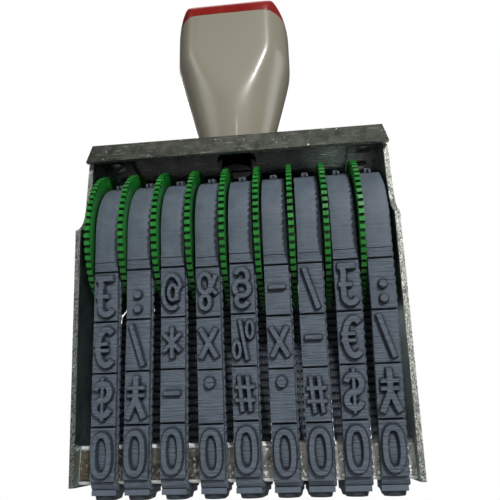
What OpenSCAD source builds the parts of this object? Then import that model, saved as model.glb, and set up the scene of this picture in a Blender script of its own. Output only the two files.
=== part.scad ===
// Hand-held band stamp: nine rubber character bands, each driven by its own toothed thumb wheel,
// in a steel frame with a moulded handle. All sizes are in millimetres.
// Origin: middle of the printing face. X runs along the wheel axle, Y to the rear, Z up.

/* [Character bands] */
// Width of a character block
tile_w = 5.6; // [4.6:0.1:7]
// Length of band that each character takes
tile_pitch = 11.7; // [11.5:0.05:12]
// Thickness of a character block above the base of its band
tile_t = 1.0; // [0.6:0.1:1.4]
// Width of the slit between two character blocks
slit_w = 0.4; // [0.2:0.05:0.8]
// Height of the characters above their blocks
relief_h = 1.1; // [0.6:0.1:1.6]
// Stroke width of the characters
stroke_w = 1.2; // [0.8:0.1:1.4]
// Height of a character along the band
glyph_h = 9.8; // [8:0.1:10]
// Plain margin beside a figure
glyph_side = 0.4; // [0.2:0.1:0.6]
// Thickness of the base of a band
base_t = 1.2; // [0.8:0.1:1.8]
// How far the base stands out beside the character blocks
ledge_w = 0.5; // [0.2:0.1:1]

/* [Thumb wheels] */
// Radius to the tips of the teeth
wheel_r = 18.7; // [17.8:0.1:20]
// Thickness of the toothed rim
rim_t = 1.25; // [0.9:0.05:2]
// Number of teeth round a wheel
teeth = 66; // [48:2:80]
// Depth of the teeth
tooth_h = 0.9; // [0.5:0.1:1.4]
// Radius of the drum that carries the band
drum_r = 12.7; // [12:0.1:13.6]
// Wall thickness of the drum
drum_wall = 1.6; // [1:0.1:2.4]
// Radius of the boss that runs on the axle
boss_r = 4.6; // [3.8:0.1:6]
// Thickness of the ribs between boss and drum
rib_t = 1.2; // [0.8:0.1:2]
// Number of ribs between boss and drum
rib_count = 6; // [3:1:8]

/* [Axle] */
// Radius of the axle
axle_r = 2.5; // [2:0.1:3]
// Height of the axle above the underside of the platen bar
axle_rise = 58.4; // [57:0.1:61]
// Thickness of the washer at the left end of the wheels
spacer_left_t = 2; // [0.5:0.1:3]
// Thickness of the washer at the right end of the wheels
spacer_right_t = 0.4; // [0.3:0.1:3]
// Outer radius of the axle washers
spacer_r = 4.6; // [4:0.1:6]
// Thickness of the retaining clips
clip_t = 0.8; // [0.6:0.1:1.2]
// Outer radius of the retaining clips
clip_r = 4.6; // [4:0.1:6]
// Depth of the clip grooves in the axle
groove_h = 0.5; // [0.3:0.1:0.8]
// How much narrower the mouth of a clip is than its groove, on each side
clip_snap = 0.2; // [0.1:0.05:0.4]
// Length of axle outside each retaining clip
axle_tail = 0.9; // [0.5:0.1:2]

/* [Platen bar] */
// Depth of the platen bar, front to rear
platen_d = 10.8; // [10.4:0.1:12]
// Height of the platen bar
platen_h = 8.3; // [6:0.1:12]
// Radius of the long edges of the platen bar
platen_edge_r = 1; // [0.6:0.1:1.4]
// Radius of the rivets that hold the platen bar
platen_rivet_r = 1.2; // [0.8:0.1:1.5]
// Distance between the two rivets at an end of the platen bar
platen_rivet_gap = 6; // [4.5:0.1:7]
// Depth of a rivet in the platen bar
platen_rivet_l = 6; // [3:0.5:12]

/* [Frame] */
// Thickness of the side plates
plate_t = 1.25; // [0.8:0.05:1.6]
// Depth of the side plates at their foot
foot_d = 15.4; // [13:0.1:24]
// How far the side plates reach below the platen bar
foot_drop = 0.5; // [0:0.1:0.9]
// Depth that the side plates grow to at the height of the waist
plate_d = 33.4; // [30:0.1:38]
// Height of the waisted part of the side plates below the bridge
waist_h = 12.6; // [8:0.1:14]
// Radius of the curve into the waist
waist_r = 8; // [7:0.1:10]
// Length of the tabs at the top of the side plates
tab_l = 8; // [6:0.1:12]
// Depth of the bridge over its flanges
bridge_d = 26; // [24:0.1:27]
// Height of the bridge
bridge_h = 5.2; // [5:0.1:8]
// How far the flanges of the bridge slope in from their edge to the top
bridge_slope = 0.8; // [0.2:0.1:1.5]
// Thickness of the bridge
bridge_t = 1.25; // [0.8:0.05:1.4]
// How far the corners of the flanges are cut in at the ends of the bridge
bridge_clip = 1.1; // [0:0.1:1.5]
// How far the bridge stands out past the side plates
bridge_over = 0.1; // [0.1:0.1:1]
// Gap between the tips of the wheels and the edge of the bridge
headroom = 0.3; // [0.1:0.05:3]

/* [Bridge rivets] */
// Radius of the rivets that hold the tabs to the bridge
bridge_rivet_r = 1.2; // [0.8:0.1:1.6]
// Distance between the two rivets of a tab
bridge_rivet_gap = 8; // [6:0.1:9]
// Radius of all rivet heads
rivet_head_r = 2.1; // [1.8:0.1:2.6]
// Height of all rivet heads
rivet_head_h = 0.9; // [0.6:0.1:1.2]

/* [Handle] */
// Width of the handle
handle_w = 33; // [30:0.1:36]
// Depth of the handle between its flats
handle_d = 25.2; // [22:0.1:30]
// Height of the handle with its cap
handle_h = 44.8; // [38:0.1:50]
// Offset of the handle and its screw from the middle of the bridge
handle_x = -0.8; // [-2:0.1:2]
// Radius of the foot of the handle
foot_r = 9.3; // [8:0.1:12]
// Radius that the tapered stem grows to
flare_r = 16.7; // [16:0.1:20]
// Height at which the stem has grown to that radius
flare_h = 27; // [22:0.1:29]
// Radius of the rounding from the front and rear flats to the top
crown_r = 4; // [3:0.1:8]
// Radius of the rounding from the left and right flats to the top
shoulder_r = 7.8; // [5:0.1:9]
// Height of the cap above the handle body
cap_h = 5.3; // [4:0.1:8]
// Radius of the spigot under the cap
spigot_r = 8; // [6:0.1:9]
// Length of the spigot under the cap
spigot_l = 5; // [3:0.1:8]

/* [Handle screw] */
// Radius of the handle screw
screw_r = 2.5; // [2:0.1:3]
// Length of the handle screw under its head
screw_l = 12; // [9:0.1:13]
// Radius of the head of the handle screw
screw_head_r = 4.2; // [3.6:0.1:4.6]
// Height of the head of the handle screw
screw_head_h = 2; // [1.2:0.1:2.6]
// Width of the slot in the head of the handle screw
screw_slot_w = 1; // [0.6:0.1:1.4]
// Thickness of the washer under the head of the handle screw
washer_t = 0.8; // [0.5:0.1:1.2]
// Outer radius of the washer under the head of the handle screw
washer_r = 5.4; // [4.8:0.1:6]
// Outer radius of the threaded insert in the handle
insert_r = 4.2; // [3.8:0.1:5.5]
// Length of the threaded insert in the handle
insert_l = 13; // [8:0.1:16]

/* [Clearances] */
// Running clearance of the wheels on the axle, on the radius
axle_play = 0.05; // [0.02:0.01:0.1]
// Clearance between a drum and its band, and between a rim and its own band
band_gap = 0.3; // [0.2:0.05:0.5]
// Clearance between a rim and the band of the wheel before it
rim_gap = 0.35; // [0.2:0.05:1]
// Side clearance between neighbouring wheels and at each end of the stack
side_play = 0.1; // [0.05:0.05:0.3]
// Clearance of a band round the platen bar
platen_gap = 0.05; // [0.02:0.01:0.2]
// Clearance round rivets, the insert and the thread, on the radius
fit_gap = 0.02; // [0.01:0.01:0.05]
// Clearance between sheet-metal pieces that slip into each other
sheet_gap = 0.1; // [0.05:0.05:0.3]

/* [Hidden] */
band_count = 9;
tiles_front = 4;
tiles_rear = 8;
// Cuts reach this far past the surface that they open
over = 0.5;
steel = [0.47, 0.49, 0.46];
green = [0.06, 0.5, 0.14];
slate = [0.36, 0.4, 0.46];
$fn = 96;
// Straight steps of a band from the end of its run to the top of its drum
drum_steps = 20;

// Where things are across the stamp
band_w = tile_w + ledge_w;
band_pitch = rim_t + band_gap + band_w + rim_gap;
boss_l = band_pitch - side_play;
plate_gap = spacer_left_t + spacer_right_t + side_play + band_count * band_pitch;
wheel_x0 = -plate_gap / 2 + spacer_left_t + side_play;
function wheel_x(i) = wheel_x0 + (i - 1) * band_pitch;
function band_x(i) = wheel_x(i) + rim_t + band_gap;

// Where things are up the stamp
platen_z = relief_h + tile_t + base_t + platen_gap;
axle_z = platen_z + axle_rise;
bridge_z = axle_z + wheel_r + headroom;
bridge_top = bridge_z + bridge_h;
bridge_under = bridge_top - bridge_t;
waist_z = bridge_z - waist_h;
waist_d = bridge_d - 2 * (bridge_t + bridge_slope + sheet_gap);
bridge_w = plate_gap + 2 * (plate_t + bridge_over);
cap_z = bridge_top + handle_h - cap_h;
screw_z = bridge_under - washer_t;
clip_x = plate_gap / 2 + plate_t + side_play;
axle_end = clip_x + clip_t + side_play + axle_tail;

// The inside line of a band: flat under the platen bar, round its two lower edges, then straight up
// to the drum and round that. The runs lean out by the angle run_tilt.
loop_r = drum_r + band_gap;
edge_r = platen_edge_r + platen_gap;
edge_y = platen_d / 2 - platen_edge_r;
edge_z = platen_z + platen_edge_r;
edge_to_axle = norm([edge_y, axle_z - edge_z]);
run_tilt = asin((loop_r - edge_r) / edge_to_axle) - atan(edge_y / (axle_z - edge_z));
run_l = sqrt(pow(edge_to_axle, 2) - pow(loop_r - edge_r, 2));

// Lengths along that line, from the middle of the printing face to the ends of a run. The fabric on
// the inside of a band doesn't stretch, so the character blocks are spaced along this line.
s_run = edge_y + (90 - run_tilt) * PI / 180 * edge_r;
s_drum = s_run + run_l;

// Point on the rear half of a band, h outside its inside line and s along it
function drum_point(a, h) = [0, axle_z] + [cos(a), sin(a)] * (loop_r + h);
function run_point(s, h) =
    s > s_drum ? drum_point(run_angle(s), h)
    : drum_point(-run_tilt, h) + (s - s_drum) * [sin(run_tilt), cos(run_tilt)];
function run_angle(s) = max(s - s_drum, 0) / loop_r * 180 / PI - run_tilt;

// Puts a flat Y-Z outline at x and gives it a thickness along X
module along_x(x, l) { translate([x, 0, 0]) rotate([90, 0, 90]) linear_extrude(l) children(); }

// A rod along X
module rod_x(x, l, r) { translate([x, 0, 0]) rotate([0, 90, 0]) cylinder(h = l, r = r); }

// The outline that lies h outside the inside line of a band
module loop_outline(h) {
    rear = concat([for (a = [0:15:75]) [edge_y, edge_z] + [sin(a), -cos(a)] * (edge_r + h)],
        [[edge_y, edge_z] + [cos(run_tilt), -sin(run_tilt)] * (edge_r + h)],
        [for (k = [0:drum_steps]) drum_point((90 + run_tilt) * k / drum_steps - run_tilt, h)]);
    polygon(concat(rear, [for (k = [len(rear) - 2:-1:0]) [-rear[k][0], rear[k][1]]]));
}

// Turns what is drawn from the inside line of a band at s, with X pointing out and Y along the band
module at_run(s) { translate(run_point(s, 0)) rotate(run_angle(s)) children(); }

// The character blocks of a band and the plain length over the drum, as a Y-Z outline that starts
// inside the base. Blocks stay flat, so the band opens between them at the platen bar's lower edges.
module block_outline() {
    reach = edge_r + base_t + tile_t;
    block_l = tile_pitch - slit_w;
    inner = run_point(1.5 * tile_pitch + slit_w / 2, -over);
    outer = run_point(1.5 * tile_pitch + slit_w / 2, reach);
    difference() {
        loop_outline(base_t + tile_t);
        loop_outline(base_t / 2);
        polygon([[-outer[0], 0], [outer[0], 0], outer, inner, [-inner[0], inner[1]], [-outer[0], outer[1]]]);
        for (k = [2:tiles_rear]) at_run((k + 0.5) * tile_pitch)
            translate([0, -slit_w / 2]) square([reach + over, slit_w]);
        mirror([1, 0]) for (k = [2:tiles_front]) at_run((k + 0.5) * tile_pitch)
            translate([0, -slit_w / 2]) square([reach + over, slit_w]);
    }
    translate([-block_l / 2, edge_z - reach]) square([block_l, base_t / 2 + tile_t]);
    for (side = [0, 1]) mirror([side, 0]) at_run(tile_pitch)
        translate([base_t / 2, -block_l / 2]) square([base_t / 2 + tile_t, block_l]);
}

// An upright oval of radius r, with its straight sides from y to y + l
module oval(r, y, l) {
    translate([0, y]) circle(r, $fn = 40);
    translate([0, y + l]) circle(r, $fn = 40);
    translate([-r, y]) square([2 * r, l]);
}

// The figure nine, as it stands on a printing block: its top points to the rear
module figure_nine() {
    bowl_r = tile_w / 2 - glyph_side;
    bowl_l = 0.14 * glyph_h;
    tail_y = bowl_r - glyph_h / 2;
    difference() {
        oval(bowl_r, -tail_y - bowl_l, bowl_l);
        oval(bowl_r - stroke_w, -tail_y - bowl_l, bowl_l);
    }
    translate([bowl_r - stroke_w, tail_y]) square([stroke_w, -2 * tail_y - bowl_l]);
    translate([0, tail_y]) difference() {
        circle(bowl_r, $fn = 40);
        circle(bowl_r - stroke_w, $fn = 40);
        translate([-bowl_r - over, 0]) square([2 * bowl_r + 2 * over, bowl_r + over]);
    }
}

module rubber_band(i) {
    color(slate) {
        along_x(band_x(i), band_w) difference() {
            loop_outline(base_t);
            loop_outline(0);
        }
        along_x(band_x(i), tile_w) block_outline();
        translate([band_x(i) + tile_w / 2, 0, 0]) linear_extrude(relief_h + tile_t / 2) figure_nine();
    }
}

// One tooth and the gap after it, as points round the rim
function tooth(k) =
    let (step = 360 / teeth, top = 0.28 * step, foot = 0.36 * step, a = k * step, r = wheel_r - tooth_h)
    [[r, a - foot], [wheel_r, a - top], [wheel_r, a + top], [r, a + foot]];
rim_points = [for (k = [0:teeth - 1], p = tooth(k)) p[0] * [cos(p[1]), sin(p[1])]];

module thumb_wheel(i) {
    drum_l = band_gap + band_w;
    color(green) translate([wheel_x(i), 0, axle_z]) difference() {
        union() {
            along_x(0, rim_t) polygon(rim_points);
            difference() {
                rod_x(0, rim_t + drum_l, drum_r);
                rod_x(rim_t, drum_l + over, drum_r - drum_wall);
            }
            rod_x(0, boss_l, boss_r);
            for (k = [0:rib_count - 1]) rotate([k * 360 / rib_count, 0, 0])
                translate([0, -rib_t / 2, boss_r - over])
                    cube([rim_t + drum_l / 2, rib_t, drum_r - drum_wall - boss_r + 2 * over]);
        }
        rod_x(-over, boss_l + 2 * over, axle_r + axle_play);
    }
}

module axle() {
    color(steel) translate([0, 0, axle_z]) difference() {
        rod_x(-axle_end, 2 * axle_end, axle_r);
        for (side = [-1, 1]) clip_groove(side);
    }
}

// The groove that a retaining clip snaps into
module clip_groove(side) {
    x = side > 0 ? clip_x : -clip_x - clip_t - side_play;
    difference() {
        rod_x(x, clip_t + side_play, axle_r + over);
        rod_x(x - over, clip_t + side_play + 2 * over, axle_r - groove_h);
    }
}

module axle_clip(side) {
    mouth = 2 * (axle_r - groove_h - clip_snap);
    x = side > 0 ? clip_x + side_play / 2 : -clip_x - clip_t - side_play / 2;
    color(steel) translate([0, 0, axle_z]) difference() {
        rod_x(x, clip_t, clip_r);
        rod_x(x - over, clip_t + 2 * over, axle_r - groove_h + fit_gap);
        translate([x - over, -mouth / 2, -clip_r - over]) cube([clip_t + 2 * over, mouth, clip_r + over]);
    }
}

module spacer(x, t) {
    color(steel) translate([0, 0, axle_z]) difference() {
        rod_x(x, t, spacer_r);
        rod_x(x - over, t + 2 * over, axle_r + axle_play);
    }
}

module platen_bar() {
    color(steel) difference() {
        along_x(-plate_gap / 2, plate_gap) platen_outline();
        for (side = [-1, 1]) platen_rivet_places(side)
            translate([0, 0, -platen_rivet_l - plate_t - fit_gap])
                cylinder(h = platen_rivet_l + plate_t, r = platen_rivet_r + fit_gap);
    }
}

module platen_outline() {
    w = platen_d - 2 * platen_edge_r;
    translate([-w / 2, platen_z]) square([w, platen_h]);
    translate([-platen_d / 2, platen_z + platen_edge_r]) square([platen_d, platen_h - 2 * platen_edge_r]);
    for (y = [-w / 2, w / 2], z = [platen_edge_r, platen_h - platen_edge_r])
        translate([y, platen_z + z]) circle(platen_edge_r);
}

// The two rivet places at an end of the platen bar, with Z pointing out of the side plate's outer face
module platen_rivet_places(side) {
    for (y = [-platen_rivet_gap / 2, platen_rivet_gap / 2])
        translate([side * (plate_gap / 2 + plate_t), y, platen_z + platen_h / 2])
            rotate([0, side * 90, 0]) children();
}

// A rivet: Z points out of the head, and the origin lies on the seat of the head
module rivet(shank_r, shank_l) {
    dome_r = (pow(rivet_head_r, 2) + pow(rivet_head_h, 2)) / (2 * rivet_head_h);
    translate([0, 0, -shank_l]) cylinder(h = shank_l, r = shank_r);
    intersection() {
        cylinder(h = rivet_head_h + over, r = rivet_head_r);
        translate([0, 0, rivet_head_h - dome_r]) sphere(dome_r);
    }
}

module platen_rivets(side) {
    color(steel) platen_rivet_places(side) rivet(platen_rivet_r, platen_rivet_l + plate_t);
}

// The two rivet places of a tab, with Z pointing up out of the bridge
module bridge_rivet_places(side) {
    for (y = [-bridge_rivet_gap / 2, bridge_rivet_gap / 2])
        translate([side * (plate_gap / 2 - tab_l / 2), y, bridge_top]) children();
}

module bridge_rivets(side) {
    grip = bridge_t + plate_t;
    color(steel) bridge_rivet_places(side) {
        rivet(bridge_rivet_r, grip);
        translate([0, 0, -grip]) mirror([0, 0, 1]) rivet(bridge_rivet_r, over);
    }
}

// Side view of a side plate, up to the underside of the bridge
module plate_outline() {
    foot_z = platen_z - foot_drop;
    difference() {
        polygon([[-foot_d / 2, foot_z], [foot_d / 2, foot_z], [plate_d / 2, waist_z], [-plate_d / 2, waist_z]]);
        for (side = [-1, 1]) translate([side * (waist_d / 2 + waist_r), waist_z]) circle(waist_r);
    }
    translate([-waist_d / 2, waist_z - over]) square([waist_d, bridge_under - waist_z + over]);
}

module side_plate(side) {
    x = side > 0 ? plate_gap / 2 : -plate_gap / 2 - plate_t;
    color(steel) difference() {
        union() {
            along_x(x, plate_t) plate_outline();
            translate([side > 0 ? x - tab_l : x, -waist_d / 2, bridge_under - plate_t])
                cube([tab_l + plate_t, waist_d, plate_t]);
        }
        translate([0, 0, axle_z]) rod_x(x - over, plate_t + 2 * over, axle_r + axle_play);
        platen_rivet_places(side)
            translate([0, 0, -plate_t - over]) cylinder(h = plate_t + 2 * over, r = platen_rivet_r + fit_gap);
        bridge_rivet_places(side)
            translate([0, 0, -bridge_t - plate_t - over])
                cylinder(h = bridge_t + plate_t + 2 * over, r = bridge_rivet_r + fit_gap);
    }
}

// Cross-section of the bridge's outside, drawn in by t
module bridge_outline(t) {
    half = bridge_d / 2 - t;
    polygon([[-half, bridge_z - (t > 0 ? over : 0)], [half, bridge_z - (t > 0 ? over : 0)],
        [half, bridge_z], [half - bridge_slope, bridge_top - t],
        [-half + bridge_slope, bridge_top - t], [-half, bridge_z]]);
}

module top_bridge() {
    top_w = bridge_w - 2 * bridge_clip;
    color(steel) difference() {
        intersection() {
            along_x(-bridge_w / 2, bridge_w) bridge_outline(0);
            translate([0, bridge_d, 0]) rotate([90, 0, 0]) linear_extrude(2 * bridge_d)
                polygon([[-bridge_w / 2, bridge_z], [bridge_w / 2, bridge_z],
                    [top_w / 2, bridge_top], [-top_w / 2, bridge_top]]);
        }
        along_x(-bridge_w, 2 * bridge_w) bridge_outline(bridge_t);
        for (side = [-1, 1]) bridge_rivet_places(side)
            translate([0, 0, -bridge_t - over])
                cylinder(h = bridge_t + 2 * over, r = bridge_rivet_r + fit_gap);
        translate([handle_x, 0, bridge_under - over])
            cylinder(h = bridge_t + 2 * over, r = screw_r + sheet_gap);
    }
}

// A rectangle w wide and handle_h high on the X axis, with its two top corners rounded by r
module crown_outline(w, r) {
    translate([-w / 2, 0]) square([w, handle_h - r]);
    translate([-w / 2 + r, 0]) square([w - 2 * r, handle_h]);
    for (x = [-1, 1]) translate([x * (w / 2 - r), handle_h - r]) circle(r);
}

// The handle and its cap as one form: a tapered stem cut by four flats that round over to the top
module handle_form() {
    translate([handle_x, 0, bridge_top]) intersection() {
        rotate_extrude() polygon([[0, 0], [foot_r, 0], [flare_r, flare_h], [flare_r, handle_h], [0, handle_h]]);
        translate([0, handle_d, 0]) rotate([90, 0, 0]) linear_extrude(2 * handle_d) crown_outline(handle_w, shoulder_r);
        along_x(-handle_w, 2 * handle_w) crown_outline(handle_d, crown_r);
    }
}

module handle_body() {
    color([0.76, 0.74, 0.66]) difference() {
        handle_form();
        translate([-handle_w, -handle_w, cap_z]) cube([2 * handle_w, 2 * handle_w, 2 * cap_h]);
        translate([handle_x, 0, cap_z - spigot_l - sheet_gap])
            cylinder(h = spigot_l + over + sheet_gap, r = spigot_r + fit_gap);
        translate([handle_x, 0, bridge_top - over]) cylinder(h = insert_l + over, r = insert_r + fit_gap);
    }
}

module handle_cap() {
    color([0.58, 0.07, 0.05]) {
        intersection() {
            handle_form();
            translate([-handle_w, -handle_w, cap_z]) cube([2 * handle_w, 2 * handle_w, 2 * cap_h]);
        }
        translate([handle_x, 0, cap_z - spigot_l]) cylinder(h = spigot_l + over, r = spigot_r);
    }
}

module handle_screw() {
    color(steel) translate([handle_x, 0, 0]) difference() {
        translate([0, 0, screw_z]) {
            cylinder(h = screw_l, r = screw_r);
            translate([0, 0, -screw_head_h]) cylinder(h = screw_head_h, r = screw_head_r);
        }
        translate([-screw_head_r - over, -screw_slot_w / 2, screw_z - screw_head_h - over])
            cube([2 * (screw_head_r + over), screw_slot_w, screw_head_h / 2 + over]);
    }
}

module handle_washer() {
    color(steel) translate([handle_x, 0, screw_z]) difference() {
        cylinder(h = washer_t, r = washer_r);
        translate([0, 0, -over]) cylinder(h = washer_t + 2 * over, r = screw_r + sheet_gap);
    }
}

module handle_insert() {
    color([0.75, 0.6, 0.3]) translate([handle_x, 0, bridge_top]) difference() {
        cylinder(h = insert_l, r = insert_r);
        translate([0, 0, -over]) cylinder(h = insert_l + 2 * over, r = screw_r + fit_gap);
    }
}

side_plate(-1);  // side_plate_left
side_plate(1);  // side_plate_right
top_bridge();
platen_bar();
platen_rivets(-1);  // platen_rivets_left
platen_rivets(1);  // platen_rivets_right
bridge_rivets(-1);  // bridge_rivets_left
bridge_rivets(1);  // bridge_rivets_right
axle();
axle_clip(-1);  // axle_clip_left
axle_clip(1);  // axle_clip_right
spacer(-plate_gap / 2, spacer_left_t);  // spacer_left
spacer(plate_gap / 2 - spacer_right_t, spacer_right_t);  // spacer_right
for (i = [1:band_count]) thumb_wheel(i);
for (i = [1:band_count]) rubber_band(i);
handle_body();
handle_cap();
handle_screw();
handle_washer();
handle_insert();
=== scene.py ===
"""Nine-band rubber number stamp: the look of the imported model, in metres.

X runs along the wheel axle, Y to the rear and Z up through the handle; the printing face is Z = 0.
The bands and the handle are worked out in millimetres, and build() makes metres of them.
"""
import math

import bpy
import numpy as np
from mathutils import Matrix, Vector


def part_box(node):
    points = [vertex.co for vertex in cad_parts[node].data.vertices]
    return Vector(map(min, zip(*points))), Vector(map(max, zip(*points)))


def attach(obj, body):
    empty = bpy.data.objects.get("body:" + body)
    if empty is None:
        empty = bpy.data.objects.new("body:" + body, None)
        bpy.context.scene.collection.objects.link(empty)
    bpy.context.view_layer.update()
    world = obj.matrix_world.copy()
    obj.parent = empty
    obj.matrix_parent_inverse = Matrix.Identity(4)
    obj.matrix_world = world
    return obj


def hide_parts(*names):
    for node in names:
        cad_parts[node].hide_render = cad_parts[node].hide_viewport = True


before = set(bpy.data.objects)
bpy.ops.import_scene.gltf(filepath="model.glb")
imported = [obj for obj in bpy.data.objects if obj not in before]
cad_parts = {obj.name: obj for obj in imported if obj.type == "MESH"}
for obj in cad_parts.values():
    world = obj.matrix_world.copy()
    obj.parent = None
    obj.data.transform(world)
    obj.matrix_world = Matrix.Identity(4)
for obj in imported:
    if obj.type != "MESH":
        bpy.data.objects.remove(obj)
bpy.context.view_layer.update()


# ---------------------------------------------------------------- Camera
# A short lens close in front of the bands and low down, so that it looks up past the printing
# end to the handle. It leans by a degree and a half.
picture_px, focal_px, sensor_mm = 500, 540, 36
camera_data = bpy.data.cameras.new("camera")
camera_data.sensor_width = sensor_mm
camera_data.lens = focal_px / picture_px * sensor_mm
camera_data.clip_start = 0.01
camera = bpy.data.objects.new("camera", camera_data)
camera.location = (0.01492, -0.13219, 0.01161)
camera.rotation_euler = [math.radians(a) for a in (109.552, 1.402, 5.979)]
bpy.context.scene.collection.objects.link(camera)
bpy.context.scene.camera = camera
bpy.context.scene.view_settings.view_transform = "Standard"


# ---------------------------------------------------------------- Floor and studio light
# A pale matt floor well under the stamp, because the camera looks up from below the handle. The
# main light comes from the front right. Weak lamps ahead, at both sides, behind and close to the
# bands fill in, a wide one lights the floor, and the sky is dim with a little glow.
floor_depth, floor_half, floor_cells = 0.16, 1.4, 8


def feed(tree, made, **inputs):
    """Sets a node's inputs, named as on the node or by i and a number.

    A value is set on the socket itself, and another node's socket is linked to it.
    """
    for name, value in inputs.items():
        key = int(name[1:]) if name[0] == "i" and name[1:].isdigit() else name.replace("_", " ")
        if isinstance(value, bpy.types.NodeSocket):
            tree.links.new(value, made.inputs[key])
        else:
            made.inputs[key].default_value = value
    return made


def node(tree, kind, **inputs):
    """Adds a shader node of a kind and feeds it."""
    return feed(tree, tree.nodes.new("ShaderNode" + kind), **inputs)


def own_place(tree):
    """Place on the piece, in metres."""
    return node(tree, "TexCoord").outputs["Object"]


def along_axis(tree, vector, axis):
    """One coordinate of a place: X, Y or Z."""
    return node(tree, "SeparateXYZ", Vector=vector).outputs[axis]


def noise(tree, place, scale, detail, roughness=0.5):
    """Cloudy noise from 0 to 1, with scale lumps to a metre and finer ones on top."""
    made = node(tree, "TexNoise", Vector=place, Scale=scale, Detail=detail, Roughness=roughness)
    return made.outputs["Fac"]


def ramp(tree, fac, *stops):
    """Colour ramp over fac, with stops (position, colour or grey)."""
    made = node(tree, "ValToRGB", Fac=fac)
    marks = made.color_ramp.elements
    while len(marks) < len(stops):
        marks.new(0.5)
    for mark, (place, colour) in zip(marks, stops):
        mark.position = place
        mark.color = (*colour, 1) if isinstance(colour, tuple) else (colour, colour, colour, 1)
    return made.outputs["Color"]


def stretch(tree, value, low, high, start=0.0, end=1.0):
    """Maps a value from low..high to start..end, and holds it there beyond."""
    made = node(tree, "MapRange", Value=value, From_Min=low, From_Max=high, To_Min=start, To_Max=end)
    return made.outputs["Result"]


def mixed(tree, factor, one, two, blend="MIX"):
    """Blend of two colours by a factor, each a colour or another node's socket."""
    made = node(tree, "Mix")
    made.data_type, made.blend_type = "RGBA", blend
    return feed(tree, made, i0=factor, i6=one, i7=two).outputs[2]


def bump(tree, height, depth, strength=1.0, **more):
    """Bump from a height socket, with its depth in metres."""
    return node(tree, "Bump", Height=height, Distance=depth, Strength=strength, **more).outputs["Normal"]


def new_material(name, **constants):
    """A Principled material with constants on its sockets, as (material, node tree, shader)."""
    material = bpy.data.materials.new(name)
    material.use_nodes = True
    tree = material.node_tree
    return material, tree, feed(tree, tree.nodes["Principled BSDF"], **constants)


def grid_faces(rows, columns, close_rows, close_columns):
    """Quads of a grid of rows by columns points, wrapped round where it is closed."""
    r = np.arange(rows if close_rows else rows - 1)[:, None]
    c = np.arange(columns if close_columns else columns - 1)[None]
    r2, c2 = (r + 1) % rows, (c + 1) % columns
    corners = [r * columns + c, r * columns + c2, r2 * columns + c2, r2 * columns + c]
    return np.stack(corners, -1).reshape(-1, 4)


floor_paint, tree, paint = new_material("floor_paint", Roughness=0.85)
cloud = noise(tree, own_place(tree), 3.0, 3.0)
feed(tree, paint, Base_Color=ramp(tree, cloud, (0.3, (0.80, 0.80, 0.79)), (0.7, (0.84, 0.84, 0.83))))
floor_line = np.linspace(-floor_half, floor_half, floor_cells + 1)
floor_x, floor_y = (a.ravel() for a in np.meshgrid(floor_line, floor_line))
floor_mesh = bpy.data.meshes.new("studio_floor")
floor_mesh.from_pydata(np.stack([floor_x, floor_y, 0 * floor_x - floor_depth], 1).tolist(), [],
                       grid_faces(floor_cells + 1, floor_cells + 1, False, False).tolist())
floor_mesh.materials.append(floor_paint)
studio_floor = bpy.data.objects.new("studio_floor", floor_mesh)
bpy.context.scene.collection.objects.link(studio_floor)

world = bpy.data.worlds.new("studio_sky")
world.use_nodes = True
bpy.context.scene.world = world
tree = world.node_tree
tree.nodes.clear()
facing = node(tree, "VectorMath", i0=node(tree, "TexCoord").outputs["Generated"], i1=(0.35, -0.75, 0.55))
facing.operation = "DOT_PRODUCT"
sky = ramp(tree, stretch(tree, facing.outputs["Value"], -1.0, 1.0), (0.0, (0.12, 0.125, 0.125)),
           (0.5, (0.02, 0.021, 0.021)), (1.0, (0.12, 0.125, 0.13)))
glow = node(tree, "Background", Color=sky, Strength=1.0)
plain = node(tree, "Background", Color=(1.0, 1.0, 1.0, 1.0), Strength=1.0)
seen = node(tree, "LightPath").outputs["Is Camera Ray"]
mix = node(tree, "MixShader", Fac=seen, i1=glow.outputs[0], i2=plain.outputs[0])
node(tree, "OutputWorld", Surface=mix.outputs[0])


def studio_lamp(name, spot, aim, size, power, spread=180, colour=(1, 1, 1)):
    """A square area light at spot that faces aim, with its beam narrowed to spread, in degrees."""
    lamp = bpy.data.lights.new(name, "AREA")
    lamp.size, lamp.energy, lamp.color, lamp.spread = size, power, colour, math.radians(spread)
    holder = bpy.data.objects.new(name, lamp)
    way = np.array(aim) - np.array(spot)
    level_way = math.hypot(way[0], way[1])
    holder.location = spot
    holder.rotation_euler = (math.atan2(level_way, -way[2]), 0, math.atan2(-way[0], way[1]))
    holder.visible_camera = False
    bpy.context.scene.collection.objects.link(holder)


studio_lamp("soft_box", (0.366, -0.82, 0.53), (0, 0, 0.05), size=0.10, power=0.43, spread=40)
studio_lamp("front_lamp", (0.13, -1.00, 0.135), (0, 0, 0.09), size=0.05, power=0.21, colour=(1, 0.98, 0.94))
studio_lamp("left_lamp", (-0.80, -0.50, 0.45), (0, 0, 0.115), size=0.80, power=0.42, spread=50)
studio_lamp("near_fill", (0.015, -0.136, 0.010), (0, 0, 0.05), size=0.03, power=0.007)
studio_lamp("floor_lamp", (0.0, 0.5, 1.3), (0, 0.4, -0.16), size=0.9, power=5.0)
studio_lamp("back_lamp", (-0.45, 0.85, 0.50), (0, 0, 0.06), size=0.40, power=0.42, spread=50)
studio_lamp("side_lamp", (0.95, 0.15, 0.35), (0, 0, 0.06), size=0.60, power=0.20, spread=50)


# ---------------------------------------------------------------- Side plates
# Two plates pressed from 1.25 mm steel sheet, waisted at the top, and zinc plated. The plating is
# mottled and scratched, and their sheared edges are torn and bright.
frame_half = 0.038                            # from the middle to either end of the frame
sheet_ease = 0.00014                          # how far an edge of the sheet is rolled over
plate_shade_z, plate_foot_z = 0.078, 0.01     # shaded inside above the one, cut below the other


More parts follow.
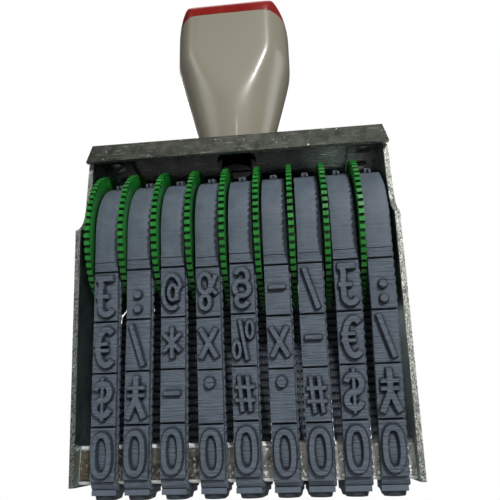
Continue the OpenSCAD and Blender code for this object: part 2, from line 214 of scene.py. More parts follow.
def plated_steel(name, dark, light, specks, gloss=(0.30, 0.55)):
    """Zinc plating: cloudy colour and gloss, fine grain, scratches across and small bright nicks.

    Nicks are where a fine noise passes specks; scratches are noise that is drawn out along X.
    """
    material, tree, steel = new_material(name, Metallic=1.0)
    place = own_place(tree)
    cloud = noise(tree, place, 230.0, 7.0, 0.75)
    grain = noise(tree, place, 1500.0, 2.0)
    drawn = node(tree, "Mapping", Vector=place, Rotation=(0.5, 0.35, 0.2), Scale=(250, 1900, 1900))
    scratch = ramp(tree, noise(tree, drawn.outputs["Vector"], 1.0, 3.0), (0.6, 0.0), (0.68, 1.0))
    nick = ramp(tree, noise(tree, place, 1250.0, 2.0), (specks, 0.0), (specks + 0.06, 1.0))
    colour = mixed(tree, nick, ramp(tree, cloud, (0.36, dark), (0.64, light)), (0.62, 0.64, 0.59, 1))
    colour = mixed(tree, scratch, colour, (0.10, 0.10, 0.09, 1), "ADD")
    rough = bump(tree, cloud, 0.00008)
    rough = bump(tree, grain, 0.00003, Normal=rough)
    rough = bump(tree, scratch, 0.00002, 0.6, Normal=rough)
    feed(tree, steel, Base_Color=colour, Normal=rough,
         Roughness=ramp(tree, cloud, (0.3, gloss[0]), (0.7, gloss[1])))
    return material


def sheared_edge(name):
    """Cut edge of the sheet: slanting tears, bright on dark, from noise drawn out along their slant."""
    material, tree, steel = new_material(name, Metallic=1.0)
    place = own_place(tree)
    slanted = node(tree, "Mapping", Vector=place, Rotation=(0.6, 0.6, 0), Scale=(5200, 5200, 2200))
    tear = noise(tree, slanted.outputs["Vector"], 1.0, 3.0, 0.6)
    dents = noise(tree, place, 700.0, 4.0)
    feed(tree, steel, Base_Color=ramp(tree, tear, (0.42, (0.12, 0.13, 0.12)), (0.60, (0.85, 0.87, 0.81))),
         Roughness=ramp(tree, dents, (0.35, 0.25), (0.65, 0.5)),
         Normal=bump(tree, tear, 0.00025, Normal=bump(tree, dents, 0.00012)))
    return material


def colour_so_far(material):
    """The material's node tree, its shader and the socket that colours it now."""
    steel = material.node_tree.nodes["Principled BSDF"]
    return material.node_tree, steel, steel.inputs["Base Color"].links[0].from_socket


def shade_and_stain_along(material, *stops):
    """Multiplies a material's colour by a ramp from the left end of the frame to its right end: painted light
    and shade, and on the platen also a stain.
    """
    tree, steel, colour = colour_so_far(material)
    shading = ramp(tree, stretch(tree, along_axis(tree, own_place(tree), "X"), -frame_half, frame_half), *stops)
    feed(tree, steel, Base_Color=mixed(tree, 1.0, colour, shading, "MULTIPLY"))


def eased_copy(name, piece_name, width):
    """A copy of a CAD node with its flat faces merged and its edges rolled over by width."""
    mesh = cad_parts[name].data.copy()
    mesh.materials.clear()
    piece = bpy.data.objects.new(piece_name, mesh)
    bpy.context.scene.collection.objects.link(piece)
    weld = piece.modifiers.new("weld", "WELD")
    weld.merge_threshold = 0.000002
    flat = piece.modifiers.new("flat", "DECIMATE")
    flat.decimate_type, flat.angle_limit = "DISSOLVE", math.radians(2)
    ease = piece.modifiers.new("ease", "BEVEL")
    ease.width, ease.segments, ease.limit_method = width, 2, "ANGLE"
    ease.angle_limit, ease.harden_normals = math.radians(25), True
    bpy.context.view_layer.update()
    solid = bpy.data.meshes.new_from_object(piece.evaluated_get(bpy.context.evaluated_depsgraph_get()))
    piece.modifiers.clear()
    piece.data = solid
    return piece


def face_arrays(mesh):
    """Normals and middles of a mesh's faces."""
    normal = np.empty(len(mesh.polygons) * 3, np.float32)
    middle = np.empty(len(mesh.polygons) * 3, np.float32)
    mesh.polygons.foreach_get("normal", normal)
    mesh.polygons.foreach_get("center", middle)
    return normal.reshape(-1, 3), middle.reshape(-1, 3)


def finish_faces(piece, finishes, chosen):
    """Gives each face one of the finishes, by an array of their numbers."""
    for finish in finishes:
        piece.data.materials.append(finish)
    piece.data.polygons.foreach_set("material_index", chosen.astype(np.int32))


# The sheet, outer, inner and shade platings are lit and shaded copies of one zinc plating, given by the way a
# face looks: painted light and shade. The outer one is paler than the darker sheet one, the inner one is
# lighter and teal, painted light and reflection, and the shade one is near black, painted shade.
# Each plating has a dark and a light colour, the rarity of its nicks, and its range of roughness
sheet_plating = plated_steel("sheet_plating", (0.042, 0.046, 0.038), (0.125, 0.132, 0.11),
                             specks=0.69, gloss=(0.48, 0.66))
outer_plating = plated_steel("outer_plating", (0.11, 0.118, 0.105), (0.25, 0.26, 0.235),
                             specks=0.69, gloss=(0.52, 0.68))
inner_painted_light_plating = plated_steel("inner_painted_light_plating", (0.20, 0.27, 0.28), (0.36, 0.46, 0.46),
                             specks=0.76, gloss=(0.30, 0.45))
painted_shade_plating = plated_steel("painted_shade_plating", (0.012, 0.015, 0.014), (0.035, 0.04, 0.038),
                             specks=0.78, gloss=(0.22, 0.36))
cut_edge = sheared_edge("sheared_edge")
# Painted light and shade along the frame: the inner copy lighter to the right, the sheet copy darker to the
# right, the shade copy with a bright greenish band near the right end, a painted reflection of the wheels,
# and the cut edges darker to the left.
shade_and_stain_along(inner_painted_light_plating, (0.4, (0.9, 0.9, 0.9)), (1.0, (1.25, 1.2, 1.2)))
shade_and_stain_along(sheet_plating, (0.5, (1.0, 1.0, 1.0)), (1.0, (0.55, 0.56, 0.56)))
shade_and_stain_along(painted_shade_plating, (0.72, (1.0, 1.0, 1.0)), (0.84, (7.0, 8.0, 7.4)), (0.96, (1.6, 1.6, 1.6)))
shade_and_stain_along(cut_edge, (0.15, (0.36, 0.37, 0.36)), (0.85, (0.95, 0.95, 0.93)))
sheet_materials = [sheet_plating, inner_painted_light_plating, cut_edge, painted_shade_plating, outer_plating]
sheet, inner, cut, under, outer = range(5)

for side in ("left", "right"):
    plate = eased_copy(f"side_plate_{side}", f"side_sheet_{side}", sheet_ease)
    normal, middle = face_arrays(plate.data)
    down = normal[:, 2] < -0.5
    inside = (normal[:, 0] * middle[:, 0] < -0.0001) | down
    edge = (np.abs(normal[:, 1]) > 0.3) | (down & (middle[:, 2] < plate_foot_z))
    outside = normal[:, 0] * middle[:, 0] > 0.0001
    shaded = inside & (middle[:, 2] > plate_shade_z)
    # Painted light and shade: the insides high under the bridge get the near-black copy, the other insides
    # and undersides the lighter teal copy, the outsides the paler copy and the rest the darker one.
    finish_faces(plate, sheet_materials,
                 np.select([edge, shaded, inside, outside], [cut, under, inner, outer], sheet))
    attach(plate, "stamp")
    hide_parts(f"side_plate_{side}")


# ---------------------------------------------------------------- Top bridge
# A channel folded from the same sheet, with sloping front and rear flanges, riveted down on the
# plates' tabs. Its top is paler than its flanges and its underside near black: painted light and shade.
bridge_rim_z = 0.0812                         # the flanges' cut edges lie below this

bridge = eased_copy("top_bridge", "bridge_channel", sheet_ease)
normal, middle = face_arrays(bridge.data)
down = normal[:, 2] < -0.5
inside = (normal[:, 1] * middle[:, 1] < -0.00001) | down
edge = (np.abs(normal[:, 0]) > 0.7) | (down & (middle[:, 2] < bridge_rim_z))
# Painted light and shade: the channel's inside and undersides take the near-black copy, its top the paler
# copy and its flanges the darker one.
finish_faces(bridge, sheet_materials,
             np.select([edge, inside, normal[:, 2] > 0.7], [cut, under, outer], sheet))
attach(bridge, "stamp")
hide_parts("top_bridge")


# ---------------------------------------------------------------- Platen bar
# A drawn and plated steel bar that the bands run round at the foot, riveted between the plates.
# Its top rim and the rounding of its front edges are pale: partly rubbed bright by the bands and partly a
# painted highlight.
bar_ease = 0.0006


def rubbed_and_highlit_above(material, rim_z, colour):
    """Turns a material to a pale colour above rim_z, along a line made ragged by noise: bare metal and a
    painted highlight.
    """
    tree, steel, plating = colour_so_far(material)
    place = own_place(tree)
    height = along_axis(tree, place, "Z")
    ragged = node(tree, "Math", i0=noise(tree, place, 700.0, 3.0), i1=0.0010, i2=height)
    ragged.operation = "MULTIPLY_ADD"
    rubbed_and_lit = stretch(tree, ragged.outputs[0], rim_z, rim_z + 0.0002)
    feed(tree, steel, Base_Color=mixed(tree, rubbed_and_lit, plating, colour))


platen_plating = plated_steel("platen_plating", (0.05, 0.045, 0.038), (0.34, 0.33, 0.30),
                              specks=0.60, gloss=(0.34, 0.55))
# Brownish and darker to the left, partly a stain and partly painted shade, and over twice as bright to the
# right, painted light.
shade_and_stain_along(platen_plating, (0.0, (0.72, 0.62, 0.50)), (0.45, (0.85, 0.86, 0.86)), (1.0, (2.1, 2.2, 2.3)))
# Pale top rim and rolled front edges, hardly metallic: partly worn bare and partly a painted highlight.
rubbed_and_highlit_above(platen_plating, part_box("platen_bar")[1][2] - 0.0005, (0.88, 0.89, 0.88, 1))
worn_and_highlit_edge = plated_steel("worn_and_highlit_edge", (0.55, 0.55, 0.53), (0.90, 0.90, 0.88), specks=0.60, gloss=(0.25, 0.45))
worn_and_highlit_edge.node_tree.nodes["Principled BSDF"].inputs["Metallic"].default_value = 0.1

anvil = eased_copy("platen_bar", "platen_anvil", bar_ease)
normal, middle = face_arrays(anvil.data)
rolled = (normal[:, 1] < -0.1) & (np.abs(normal[:, 1]) < 0.97)
finish_faces(anvil, [platen_plating, worn_and_highlit_edge], rolled)
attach(anvil, "stamp")
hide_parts("platen_bar")


# ---------------------------------------------------------------- Axle, rivets and screw
# Turned and headed steel parts: the axle with its clips and spacers, and the rivets, are plated.
# The screw that holds the handle and its washer are near black, painted shade under the bridge.
def refinish(name, material):
    """Gives a CAD node another material."""
    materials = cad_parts[name].data.materials
    materials.clear()
    materials.append(material)


small_plating = plated_steel("small_plating", (0.20, 0.21, 0.19), (0.42, 0.43, 0.40), 0.70)
# Near black: painted shade, as the screw and washer sit in the shade under the bridge.
painted_shade_black = plated_steel("painted_shade_black", (0.012, 0.012, 0.013), (0.04, 0.04, 0.042), 0.74)
for name in ("axle", *(f"{part}_{side}" for side in ("left", "right")
                       for part in ("platen_rivets", "bridge_rivets", "axle_clip", "spacer"))):
    refinish(name, small_plating)
for name in ("handle_screw", "handle_washer"):
    refinish(name, painted_shade_black)


# ---------------------------------------------------------------- Thumb wheels
# Nine green injection-moulded wheels. The teeth are a little polished by the thumb, and the
# moulding has a fine grain and faint flow marks. Shade is painted dark between the teeth.
band_count = 9


def openness(tree, reach, own=False):
    """0 in a crevice to 1 on a free face, looking as far as reach; own leaves other pieces out."""
    made = node(tree, "AmbientOcclusion", Distance=reach)
    made.samples, made.only_local = 12, own
    return made.outputs["AO"]


wheel_green, tree, shader = new_material("wheel_green", Specular_IOR_Level=0.45)
place = own_place(tree)
flow = noise(tree, place, 240.0, 4.0)
grain = noise(tree, place, 2600.0, 2.0)
moulded = ramp(tree, flow, (0.3, (0.006, 0.13, 0.012)), (0.7, (0.013, 0.23, 0.024)))
# Painted shade: the colour darkens in the crevices between the teeth.
between = ramp(tree, openness(tree, 0.0025), (0.35, 0.0), (0.95, 1.0))
feed(tree, shader, Base_Color=mixed(tree, between, (0.002, 0.02, 0.004, 1), moulded),
     Roughness=ramp(tree, flow, (0.3, 0.32), (0.7, 0.5)),
     Normal=bump(tree, grain, 0.00003, Normal=bump(tree, flow, 0.00005)))
for i in range(1, band_count + 1):
    refinish(f"thumb_wheel_{i}", wheel_green)


# ---------------------------------------------------------------- Rubber bands
# Nine moulded rubber belts on a fabric lining. Each has thirteen character blocks, a plain length
# and a notched ledge on its right. They run under the platen bar and over the wheels' drums.
# A band's inside line in mm: its lower edges, its round over the drum, and how far the straight
# runs, which touch both, lean out
edge_y, edge_z, edge_r = 4.4, 4.35, 1.05
drum_z, drum_r = 61.75, 13.0
centres = math.hypot(edge_y, drum_z - edge_z)
lean = math.asin((drum_r - edge_r) / centres) - math.atan2(edge_y, drum_z - edge_z)
run_start = edge_y + (math.pi / 2 - lean) * edge_r
run_end = run_start + math.sqrt(centres ** 2 - (drum_r - edge_r) ** 2)
half_loop = run_end + (math.pi / 2 + lean) * drum_r
base_w, base_t = 6.1, 1.2                     # the belt's section
block_w, block_t, relief = 5.6, 1.0, 1.1      # the blocks on it, and the characters on them
front_pitch, rear_pitch, slit = 11.7, 10.9, 0.4   # from block to block, and the slit between two
notch_pitch, belt_steps = front_pitch / 6, 1040   # six notches to a block, and points round the loop
welt = 2.3                                    # short block at the lower end of the plain length
first_band, band_step = -33.6, 8.0            # left side of the first band, and on to the next


def loop_point(s, h):
    """Point h outside a band's inside line, s along it from the middle of the printing face.

    Flat under the bar, a short arc round its edge, a straight run that leans out, then the drum's
    arc. The front half mirrors the rear half. Returns y, z.
    """
    s = (s + half_loop) % (2 * half_loop) - half_loop
    side, s = np.where(s < 0, -1.0, 1.0), np.abs(s)
    turn = np.clip((s - edge_y) / edge_r, 0, math.pi / 2 - lean)
    wrap = np.maximum(s - run_end, 0) / drum_r - lean
    run_y = edge_y + math.cos(lean) * (edge_r + h) + math.sin(lean) * (s - run_start)
    run_z = edge_z - math.sin(lean) * (edge_r + h) + math.cos(lean) * (s - run_start)
    where = [s <= edge_y, s <= run_start, s <= run_end]
    y = np.select(where, [s, edge_y + np.sin(turn) * (edge_r + h), run_y], np.cos(wrap) * (drum_r + h))
    z = np.select(where, [edge_z - edge_r - h + 0 * s, edge_z - np.cos(turn) * (edge_r + h), run_z],
                  drum_z + np.sin(wrap) * (drum_r + h))
    return side * y, z


def block_point(s, h, mid):
    """As loop_point, but flat for the printing block, which doesn't bend round the bar."""
    if mid == 0:
        return s + 0 * h, edge_z - edge_r - h + 0 * s
    return loop_point(s, h)


def build(name, parts, materials, sharp=32, lined=0):
    """One mesh object from parts, each (points in mm, quads, belt coordinates in mm).

    It is smooth up to sharp degrees. The first `lined` quads get the second material. A third
    column of the coordinates is painted shade, kept as the shading attribute.
    """
    points = np.concatenate([p for p, _, _ in parts]) * 0.001
    starts = np.cumsum([0] + [len(p) for p, _, _ in parts[:-1]])
    quads = np.concatenate([q + k for (_, q, _), k in zip(parts, starts)])
    belt = np.concatenate([b for _, _, b in parts])
    mesh = bpy.data.meshes.new(name)
    mesh.from_pydata(points.tolist(), [], quads.tolist())
    corner = np.empty(len(mesh.loops), np.int32)
    mesh.loops.foreach_get("vertex_index", corner)
    mesh.uv_layers.new(name="belt").data.foreach_set("uv", belt[corner, :2].astype(np.float32).ravel())
    if belt.shape[1] > 2:
        shading = mesh.attributes.new("shading", "FLOAT", "POINT")
        shading.data.foreach_set("value", belt[:, 2].astype(np.float32))
    mesh.shade_smooth()
    mesh.set_sharp_from_angle(angle=math.radians(sharp))
    for material in materials:
        mesh.materials.append(material)
    mesh.polygons.foreach_set("material_index", (np.arange(len(quads)) < lined).astype(np.int32))
    piece = bpy.data.objects.new(name, mesh)
    bpy.context.scene.collection.objects.link(piece)
    return piece


def bow(x, y, rx, ry, start, end, steps=14):
    """Points of an elliptical arc, angles in degrees."""
    a = np.radians(np.linspace(start, end, steps))
    return np.stack([x + rx * np.cos(a), y + ry * np.sin(a)], 1)


def pen(half, *pieces):
    """An open stroke through points and bows in a row, as (points, closed, half width)."""
    return np.concatenate([np.reshape(np.array(p, float), (-1, 2)) for p in pieces]), False, half


def ring(half, x, y, rx, ry, steps=36, fullness=2.0):
    """A closed oval stroke: its half axes times cos and sin to the power 2 / fullness."""
    a = np.radians(np.arange(steps) * 360 / steps)
    c, s = np.cos(a), np.sin(a)
    across = rx * np.sign(c) * np.abs(c) ** (2 / fullness)
    along = ry * np.sign(s) * np.abs(s) ** (2 / fullness)
    return np.stack([x + across, y + along], 1), True, half


# Strokes of each character, in mm about the middle of its block
bold, firm, thin, fine = 0.62, 0.56, 0.5, 0.42
foot, head = -4.3, 4.3
signs = {
    "0": [ring(firm, 0, 0, 1.80, 4.2, 44, 2.5)],
    "1": [pen(bold, (0, foot), (0, 2.4)), pen(0.55, (-1.6, foot), (1.6, foot)),
          pen(0.2, (-0.62, 2.0), (-0.56, head)), pen(0.2, (0.62, 2.0), (0.56, head))],
    "2": [pen(bold, bow(0, 2.5, 1.75, 1.8, 170, -30), (-1.75, -4.2)), pen(bold, (-1.9, foot), (1.9, foot))],
    "3": [pen(bold, bow(-0.1, 2.3, 1.7, 1.9, 160, -75), bow(-0.1, -2.1, 1.9, 2.2, 80, -160))],
    "4": [pen(thin, (1.0, foot), (1.0, head), (-1.9, -1.6)), pen(bold, (-1.9, -1.7), (2.0, -1.7))],
    "5": [pen(bold, (1.7, 4.2), (-1.5, 4.2), (-1.6, 0.9), bow(-0.1, -1.6, 1.9, 2.6, 125, -155))],
    "6": [ring(firm, 0, -1.85, 1.80, 2.5, 40, 2.3),
          pen(firm, (-1.80, -1.9), bow(0, 2.5, 1.80, 1.80, 180, 4, 16))],
    "7": [pen(bold, (-1.9, 4.2), (1.8, 4.2), (-0.7, foot))],
    "8": [ring(bold, 0, -2.05, 1.8, 2.15), ring(bold, 0, 2.35, 1.5, 1.85)],
    "9": [ring(firm, 0, 1.85, 1.80, 2.5, 40, 2.3),
          pen(firm, (1.80, 1.9), bow(0, -2.5, 1.80, 1.80, 0, -176, 16))],
    "dollar": [pen(bold, bow(0, 1.65, 1.65, 1.65, 20, 255, 16), bow(0, -1.75, 1.7, 1.85, 80, -165, 16)),
               pen(0.34, (0, -4.8), (0, 4.4))],
    "euro": [pen(bold, bow(0.7, 0, 2.0, 4.0, 52, 308, 22)),
             pen(0.36, (-2.1, 0.75), (1.1, 0.75)), pen(0.36, (-2.1, -0.75), (0.9, -0.75))],
    "pound": [pen(bold, bow(0.5, 2.5, 1.5, 1.7, 25, 185, 14), (-1.0, -1.0),
                  bow(-1.8, -2.4, 1.0, 1.9, 0, -60, 8)),
              pen(bold, (-2.0, -4.2), (1.9, -4.2)), pen(fine, (-2.0, 0.0), (0.9, 0.0))],
    "yen": [pen(bold, (0, -4.6), (0, 0.2)),
            pen(bold, (0, 0.1), (-1.9, head)), pen(bold, (0, 0.1), (1.9, head)),
            pen(0.38, (-1.9, -0.5), (1.9, -0.5)), pen(0.38, (-1.9, -2.1), (1.9, -2.1))],
    "slash": [pen(thin, (-1.5, -4.6), (1.5, 4.6))],
    "colon": [ring(fine, 0, 0.2, 0.42, 0.42, 14), ring(fine, 0, 3.5, 0.42, 0.42, 14)],
    "minus": [pen(fine, (-1.8, -0.6), (1.8, -0.6))],
    "star": [pen(fine, (0, -3.4), (0, 3.4)),
             pen(fine, (-1.9, -1.9), (1.9, 1.9)), pen(fine, (-1.9, 1.9), (1.9, -1.9))],
    "at": [ring(0.36, 0.2, 0.3, 0.95, 1.75, 26),
           pen(fine, (1.15, 2.0), (1.15, 0.0), bow(0.0, 0.1, 2.1, 3.9, -20, -300, 30))],
    "point": [ring(0.52, 0, -3.0, 0.52, 0.62, 16)],
    "cross": [pen(thin, (-1.8, -3.2), (1.8, 3.2)), pen(thin, (-1.8, 3.2), (1.8, -3.2))],
    "and": [ring(0.45, -0.5, 2.4, 1.05, 1.6, 22), ring(0.45, -0.55, -1.9, 1.35, 2.2, 24),
            pen(0.45, (0.4, 0.4), (2.0, -3.6)), pen(0.4, (0.6, -1.0), (2.1, 0.6))],
    "hash": [pen(0.4, (-1.2, -3.7), (-0.6, 3.7)), pen(0.4, (0.6, -3.7), (1.2, 3.7)),
             pen(0.4, (-2.1, 1.4), (2.1, 1.4)), pen(0.4, (-2.1, -1.4), (2.1, -1.4))],
    "percent": [pen(0.36, (-0.75, -4.4), (0.75, 4.4)),
                ring(0.34, -1.5, 2.2, 0.75, 1.8, 20), ring(0.34, 1.5, -2.2, 0.75, 1.8, 20)],
    "section": [pen(thin, bow(0, 2.9, 1.3, 1.3, 20, 235, 14), bow(0, 0.2, 1.7, 1.7, 70, -50, 8)),
                pen(thin, bow(0, -2.7, 1.4, 1.6, -160, 55, 14), bow(0, 0.0, 1.7, 1.7, -110, -230, 8))],
}


def both_sides(left):
    """A profile of (across, height) points from its left half, which is mirrored."""
    return np.array(left + [(-x, h) for x, h in left[::-1]])


def stroke(points, closed, half, height, s_mid, x_mid, drift):
    """One raised stroke: a profile with sloping sides and a flat top, carried along the stroke's line.

    The offset at a bend is the mean of the two side directions over the cosine of half the bend,
    held at a half or more, so that a sharp bend has no spike. An open stroke begins and ends with
    its profile sunk to the block, so its ends slope too. The painted shade is 1 on the slopes and 0
    on the printing face. The belt coordinates are far from the block's, so that its striations
    don't run on over the stroke.
    """
    slope, ease, root, apart = 0.36, 0.06, -0.1, 400
    profile = both_sides([(-half - slope, root), (-half - ease / 2, height - 1.5 * ease),
                          (-half + ease, height)])
    shading = np.array([1, 1, 0, 0, 1, 1.0])
    step = (np.roll(points, -1, 0) - points) if closed else np.diff(points, axis=0)
    step /= np.linalg.norm(step, axis=1)[:, None]
    before = np.roll(step, 1, 0) if closed else np.concatenate([step[:1], step])
    after = step if closed else np.concatenate([step, step[-1:]])
    mean = before + after
    mean /= np.maximum(np.linalg.norm(mean, axis=1), 0.3)[:, None]
    widen = 1 / np.clip((mean * after).sum(1), 0.5, 1)
    side = np.stack([mean[:, 1], -mean[:, 0]], 1) * widen[:, None]
    across, level = (np.repeat(profile[None, :, k], len(points), 0) for k in (0, 1))
    if not closed:
        tip, tail = points[:1] - step[:1] * slope, points[-1:] + step[-1:] * slope
        points = np.concatenate([tip, points, tail])
        side = np.concatenate([side[:1], side, side[-1:]])
        low = np.full((1, 6), root)
        level = np.concatenate([low, level, low])
        across = np.concatenate([across[:1], across, across[-1:]])
    flat = points[:, None] + side[:, None] * across[..., None]
    x, s = flat[..., 0].ravel(), flat[..., 1].ravel()
    y, z = block_point(s_mid + s, base_t + block_t + level.ravel(), s_mid)
    shading = np.maximum(shading, level < 0).ravel()
    return (np.stack([x_mid + x + drift(s_mid + s), y, z], 1), grid_faces(len(points), 6, closed, False),
            np.stack([x + apart, s + s_mid + apart, shading], 1))


def block(s_mid, length, x_mid, drift):
    """One character block: a rounded box section carried along the band, drawn in at both ends."""
    w, top, root = block_w / 2, base_t + block_t, base_t - 0.2
    ease, small, inset, steps = 0.1, 0.03, 0.6, 12
    profile = both_sides([(-w, root), (-w, top - ease), (-w + small, top - small),
                          (-w + ease, top), (-w / 3, top)])
    half = length / 2
    between = np.linspace(-half + inset, half - inset, steps)
    u = np.concatenate([[-half, -half, -half + ease], between, [half - ease, half, half]])
    sink = np.concatenate([[root - top, -ease, 0], 0 * between, [0, -ease, root - top]])
    x = np.repeat(profile[None, :, 0], len(u), 0).ravel()
    h = np.maximum(np.minimum(profile[None, :, 1], top + sink[:, None]), root).ravel()
    s = np.repeat(s_mid + u, len(profile))
    y, z = block_point(s, h, s_mid)
    return (np.stack([x_mid + x + drift(s), y, z], 1), grid_faces(len(u), len(profile), False, False),
            np.stack([x, s, 0 * x], 1))


def belt(x_left, drift):
    """The base of a band: a closed section carried round the loop, its lined inside first.

    Its inside has cross ribs, the upper part of a cosine wave, and its right ledge has half-round
    notches, the size of a sine wave, six to a block.
    """
    s = np.linspace(-half_loop, half_loop, belt_steps, endpoint=False)
    notch = 0.24 * np.abs(np.sin(np.pi * s / notch_pitch))
    rib = 0.26 * np.clip(1.4 * np.cos(2 * np.pi * s / notch_pitch), 0, 1)
    section = [(0, 0.2), (0, base_t - 0.1), (0.12, base_t),
               (base_w - 0.3, base_t), (base_w - 0.28 + notch, base_t - 0.12), (base_w - 0.24 + notch, 0.22),
               (base_w - 0.35, rib + 0.04), (base_w * 0.66, rib), (base_w * 0.33, rib), (0.2, rib + 0.04),
               (0, 0.18)]
    x, h = (np.stack([0 * s + corner[k] for corner in section], 1).ravel() for k in (0, 1))
    s = np.repeat(s, len(section))
    y, z = loop_point(s, h)
    quads = grid_faces(belt_steps, len(section), True, True)[:, ::-1].reshape(belt_steps, len(section), 4)
    lined_first = (quads[:, 6:9], quads[:, 9:], quads[:, :6])
    quads = np.concatenate([strip.reshape(-1, 4) for strip in lined_first])
    return (np.stack([x_left + x + drift(s), y, z], 1), quads, np.stack([x - base_w / 2, s, 0 * x], 1))


def belt_place(tree):
    """Place across and along the belt, in mm, from the band's own UV map."""
    made = node(tree, "UVMap")
    made.uv_map = "belt"
    return made.outputs[0]


# Slate-grey rubber, striated across by its mould, with painted shade in its corners and on the strokes'
# flanks
rubber, tree, shader = new_material("band_rubber", Specular_IOR_Level=0.35)
place, belt_uv = own_place(tree), belt_place(tree)
drawn = node(tree, "Mapping", Vector=belt_uv, Scale=(0.12, 1.7, 1)).outputs["Vector"]
stria = noise(tree, drawn, 1.0, 3.0, 0.65)
dust = noise(tree, place, 260.0, 5.0, 0.65)
pores = noise(tree, place, 2600.0, 2.0)
slate = ramp(tree, dust, (0.3, (0.072, 0.093, 0.120)), (0.7, (0.108, 0.132, 0.163)))
# Painted shade: darker where the rubber is closed in, in its corners and at the strokes' feet.
unshaded = ramp(tree, openness(tree, 0.0009, own=True), (0.5, 0.0), (0.9, 1.0))
slate = mixed(tree, unshaded, (0.008, 0.012, 0.018, 1), slate)
# Painted shade: the strokes' flanks darker, by the shading attribute.
flank = node(tree, "Attribute")
flank.attribute_name = "shading"
flank_darkening = ramp(tree, flank.outputs["Fac"], (0.1, 0.0), (0.9, 0.75))
worked = stretch(tree, along_axis(tree, belt_uv, "Y"), -57.0, -54.0, 0.25, 1.0)
feed(tree, shader, Base_Color=mixed(tree, flank_darkening, slate, (0.010, 0.015, 0.022, 1)),
     Roughness=ramp(tree, dust, (0.3, 0.5), (0.7, 0.68)),
     Normal=bump(tree, pores, 0.00003, Normal=bump(tree, stria, 0.00075, worked)))

# Woven fabric lining, darker between its cross ribs: painted shade
lining, tree, shader = new_material("band_lining", Specular_IOR_Level=0.25)
belt_uv = belt_place(tree)
weave_place = node(tree, "Mapping", Vector=belt_uv, Scale=(2.1, 2.1, 1)).outputs["Vector"]
weave = node(tree, "TexVoronoi", Vector=weave_place, Scale=1.0, Randomness=0.25).outputs["Distance"]
turns = node(tree, "Math", i0=along_axis(tree, belt_uv, "Y"), i1=2 * math.pi / notch_pitch)
turns.operation = "MULTIPLY"
rib = node(tree, "Math", i0=turns.outputs[0])
rib.operation = "COSINE"
woven = ramp(tree, weave, (0.1, (0.30, 0.34, 0.39)), (0.45, (0.09, 0.107, 0.13)))
raised = stretch(tree, rib.outputs[0], -0.9, 0.1)
feed(tree, shader, Base_Color=mixed(tree, raised, (0.018, 0.021, 0.027, 1), woven),
     Roughness=ramp(tree, weave, (0.1, 0.6), (0.5, 0.85)), Normal=bump(tree, weave, 0.00012))

# Each band's first signs from the printing end up, how far it is turned off its stop, and its
# sideways place in front, behind, at its first signs and on its drum, in mm
band_rows = [
    ("0 dollar euro pound", 0, -0.3, -1.3, 0, 0),
    ("0 yen slash colon", 0.3, -0.8, -1.2, -0.15, -0.15),
    ("0 minus star at", 0.45, -0.45, -0.3, 0, 0),
    ("0 point cross and", 0, 0.35, 0, 0.25, 0.25),
    ("0 hash percent section", 0.45, 0, 1.3, 0.25, 0.25),
    ("0 point cross minus", -0.35, 0.35, 1.05, 0.25, 0.25),
    ("0 hash minus slash", -0.3, -0.2, -1.08, -0.2, 0.25),
    ("0 dollar euro pound", 0, -0.5, -1.5, 0.15, 0.15),
    ("0 yen slash colon", 0, -0.95, -0.6, -0.1, -0.1),
]
rim_room = 0.26                               # how far aside a band may be where the wheels begin
over = 0.012                                  # each stroke of a sign is this much lower than the last


def wander(front, rear, top, drum):
    """A function for a band's sideways place at s, straight between its places at some marks."""
    marks = (-half_loop, -60, -43, -6, 4, 47.0, 48.6, 66, half_loop)
    places = (drum, drum, top, front, rear, rear, max(min(rear, rim_room), -rim_room), drum, drum)
    return lambda s: np.interp((s + half_loop) % (2 * half_loop) - half_loop, marks, places)


for i, (front_signs, lift, *sideways) in enumerate(band_rows):
    drift = wander(*sideways)
    x_left = first_band + i * band_step
    x_mid = x_left + block_w / 2
    front = [(-(k + 1) * front_pitch - lift, front_pitch, sign) for k, sign in enumerate(front_signs.split())]
    rear = [(front_pitch / 2 + (k - 0.5) * rear_pitch, rear_pitch, str(9 - k)) for k in range(1, 9)]
    parts = [belt(x_left, drift)]
    for s_mid, pitch, sign in front + [(0.0, front_pitch, "9")] + rear:
        parts.append(block(s_mid, pitch - slit, x_mid, drift))
        shrink = 1.0 if pitch == front_pitch else 0.95
        for k, (points, closed, half) in enumerate(signs[sign]):
            parts.append(stroke(points * (1, shrink), closed, half, relief - over * k, s_mid, x_mid, drift))
    plain_start = rear[-1][0] + rear_pitch / 2 - 2 * half_loop
    plain_end = front[-1][0] - front_pitch / 2
    plain_length = plain_end - welt - plain_start - 0.14
    parts.append(block((plain_start + plain_end - welt) / 2, plain_length, x_mid, drift))
    parts.append(block(plain_end - welt / 2 - slit / 4, welt - slit / 2, x_mid, drift))
    band = build(f"rubber_band_{i + 1}", parts, [rubber, lining], lined=3 * belt_steps)
    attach(band, "stamp")
    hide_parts(f"band_{i + 1}")


# ---------------------------------------------------------------- Handle
# A polished moulded knob: a tapered ivory stem that runs into four soft flats. It is screwed on
# from below, into a brass insert.
bridge_top, handle_x = 85.95, -0.8            # where it stands, mm
handle_w, handle_d, handle_h, cap_h = 33.0, 25.2, 44.8, 5.3
crown_r, shoulder_r = 4.0, 7.8                # roundings at the top, front and rear and at the sides
foot_r, flare_r, flare_h = 9.3, 16.7, 27.0    # the stem widens from the one to the next over flare_h
around, knob_rings, cap_rings = 168, 80, 26


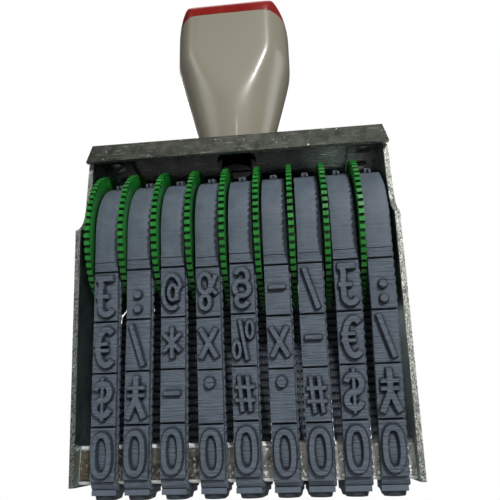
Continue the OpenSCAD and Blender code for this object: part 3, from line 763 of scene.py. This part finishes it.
def knob_surface(z, turn_in):
    """Rings of the handle at heights z above the bridge, drawn in by turn_in.

    A ring is the smooth lower bound of the stem's circle and the four flats. Near the top the flats
    come in by r - sqrt(r^2 - h^2), h above the start of their rounding.
    """
    angle = np.linspace(0, 2 * np.pi, around, endpoint=False)
    c, s = np.maximum(np.abs([np.cos(angle), np.sin(angle)]), 1e-4)[:, None]

    def rounded(half, r):
        return (half - r + np.sqrt(np.maximum(r * r - np.clip(z - handle_h + r, 0, r) ** 2, 0)))[:, None]

    def lower(a, b, soft):
        return (a + b - np.sqrt((a - b) ** 2 + soft)) / 2

    flat = lower(rounded(handle_w / 2, shoulder_r) / c, rounded(handle_d / 2, crown_r) / s, 0.5)
    stem = foot_r + (flare_r - foot_r) * lower(z / flare_h, np.ones_like(z), 0.004)[:, None]
    both = lower(flat, stem, 0.9) - np.reshape(turn_in, (-1, 1))
    level = np.repeat(z[:, None], around, 1) + bridge_top
    return np.stack([both * np.cos(angle) + handle_x, both * np.sin(angle), level], -1)


def shell(rings, name, material):
    """A closed shell from rings of points, its first and last ring drawn to the middle."""
    def drawn_in(r, k):
        mid = r.mean(0)
        return mid + (r - mid) * (k, k, 1)

    rings = np.concatenate([[drawn_in(rings[0], k) for k in (0.001, 0.3, 0.6, 0.9)], rings,
                            [drawn_in(rings[-1], k) for k in (0.92, 0.7, 0.4, 0.001)]])
    rows, columns = rings.shape[:2]
    points = rings.reshape(-1, 3)
    return build(name, [(points, grid_faces(rows, columns, False, True), points[:, :2])], [material], 40)


ivory, tree, shader = new_material("handle_ivory", Specular_IOR_Level=0.5,
                                   Coat_Weight=0.35, Coat_Roughness=0.11)
place = own_place(tree)
swirl = noise(tree, place, 60.0, 3.0)
haze = noise(tree, place, 420.0, 4.0)
feed(tree, shader, Base_Color=ramp(tree, swirl, (0.3, (0.268, 0.248, 0.190)), (0.7, (0.282, 0.262, 0.203))),
     Roughness=ramp(tree, haze, (0.3, 0.30), (0.7, 0.36)), Normal=bump(tree, haze, 0.00002))
seam = handle_h - cap_h
z = np.concatenate([[0, 0.04, 0.15], np.linspace(0.4, seam - 0.5, knob_rings),
                    seam - np.array([0.25, 0.1, 0.03, 0.0])])
rings = knob_surface(z, np.concatenate([[0.14, 0.04, 0.01], np.zeros(knob_rings), [0, 0.01, 0.05, 0.14]]))
body = shell(rings, "handle_knob", ivory)
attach(body, "stamp")
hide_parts("handle_body")

insert_brass, tree, shader = new_material("insert_brass", Metallic=1.0)
turned = noise(tree, own_place(tree), 900.0, 3.0)
feed(tree, shader, Base_Color=ramp(tree, turned, (0.3, (0.55, 0.40, 0.16)), (0.7, (0.72, 0.56, 0.28))),
     Roughness=ramp(tree, turned, (0.3, 0.25), (0.7, 0.4)))
refinish("handle_insert", insert_brass)


# ---------------------------------------------------------------- Handle cap
# A glossy red moulded insert, pressed into the top of the handle. It goes on with the handle's
# flats and rounds them off to its crown.
red, tree, shader = new_material("handle_red", Specular_IOR_Level=0.4, Coat_Weight=0.1, Coat_Roughness=0.08)
swirl = noise(tree, own_place(tree), 90.0, 3.0)
feed(tree, shader, Base_Color=ramp(tree, swirl, (0.3, (0.22, 0.008, 0.006)), (0.7, (0.26, 0.012, 0.008))),
     Roughness=ramp(tree, swirl, (0.3, 0.22), (0.7, 0.34)), Normal=bump(tree, swirl, 0.00003))
turn = np.linspace(math.asin(1 - cap_h / shoulder_r + 0.02), math.pi / 2, cap_rings)
z = np.concatenate([seam + np.array([0.0, 0.03, 0.1]), handle_h - shoulder_r + shoulder_r * np.sin(turn)])
rings = knob_surface(z, np.concatenate([[0.14, 0.05, 0.01], np.zeros(cap_rings)]))
cap = shell(rings, "handle_cap_dome", red)
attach(cap, "stamp")
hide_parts("handle_cap")
